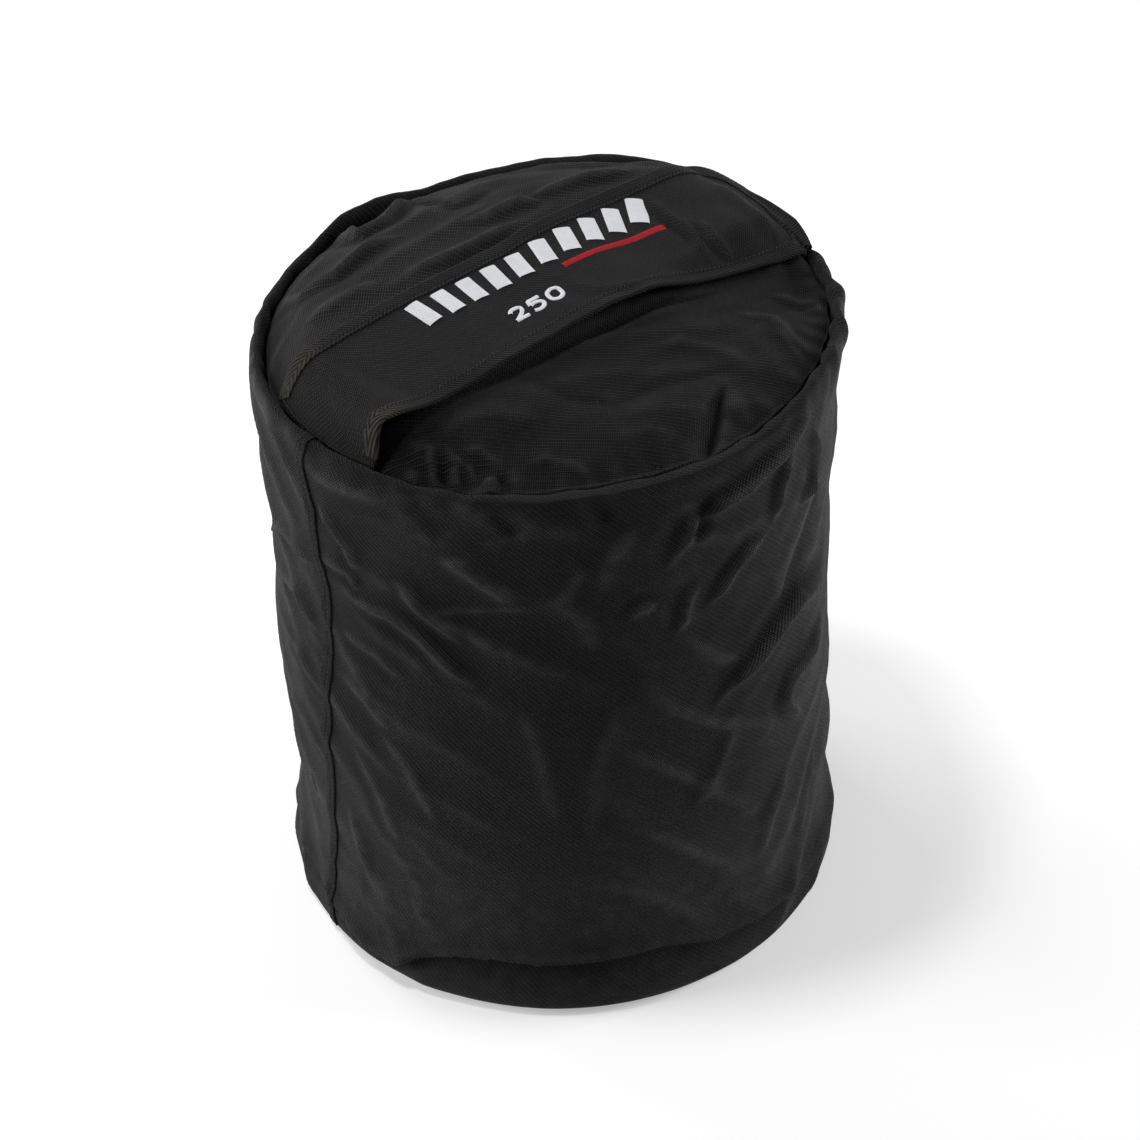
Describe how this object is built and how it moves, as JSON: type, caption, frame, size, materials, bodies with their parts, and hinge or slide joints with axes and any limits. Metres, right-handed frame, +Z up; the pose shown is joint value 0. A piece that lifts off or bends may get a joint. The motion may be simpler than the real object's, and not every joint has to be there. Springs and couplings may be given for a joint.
{
  "type": "strength training sandbag",
  "caption": "Tall round strength-training sandbag with a domed, zipped top under a long peel-back flap, an inner liner and a sand filling.",
  "frame": {"origin": "middle of the round base, on the floor", "axes": "+Z up along the bag; +X along the zipper and the flap, toward the flap's free end; +Y to the rear half of the top"},
  "size_m": [0.4366, 0.4356, 0.5307],
  "materials": {
    "black_cloth": "matte",
    "black_tape": "matte",
    "zipper_teeth": "satin",
    "zipper_metal": "satin",
    "liner_cloth": "matte",
    "sand": "matte"
  },
  "bodies": {
    "shell": {"side_panel": "black_cloth", "side_seam_strip": "black_cloth", "top_panel_front": "black_cloth", "top_panel_rear": "black_cloth", "bottom_panel": "black_cloth", "flap_root": "black_cloth", "top_seam_binding": "black_tape", "bottom_seam_binding": "black_tape", "zipper_tape_front": "black_tape", "zipper_tape_rear": "black_tape", "loop_tape_front": "black_tape", "loop_tape_rear": "black_tape", "flap_root_binding_near": "black_tape", "flap_root_binding_far": "black_tape", "liner_hook_tape": "black_tape", "liner_loop_tape": "black_tape", "zipper_teeth_front": "zipper_teeth", "zipper_teeth_rear": "zipper_teeth", "zipper_bottom_stop": "zipper_metal", "zipper_top_stop_front": "zipper_metal", "zipper_top_stop_rear": "zipper_metal", "liner_bag": "liner_cloth", "liner_neck": "liner_cloth", "sand_fill": "sand"},
    "flap": {"flap_panel": "black_cloth", "flap_binding_near": "black_tape", "flap_binding_far": "black_tape", "flap_hook_tape_front": "black_tape", "flap_hook_tape_rear": "black_tape"},
    "slider": {"zipper_slider": "zipper_metal"},
    "pull": {"zipper_pull_tab": "zipper_metal"}
  },
  "joints": [
    {"name": "flap_peel", "type": "hinge", "parent": "shell", "child": "flap", "pos_m": [-0.172, 0, 0.51936], "axis": [0, -0.9916, -0.1296], "range_deg": [0, 170]},
    {"name": "zipper_slide", "type": "slide", "parent": "shell", "child": "slider", "axis": [1, 0, 0], "range_m": [0, 0.294]},
    {"name": "pull_lift", "type": "hinge", "parent": "slider", "child": "pull", "pos_m": [-0.147, 0, 0.5091], "axis": [0, -1, 0], "range_deg": [0, 150]}
  ],
  "couplings": [
    {"joint": "pull_lift", "follows": "flap_peel", "ratio": 0.8}
  ]
}
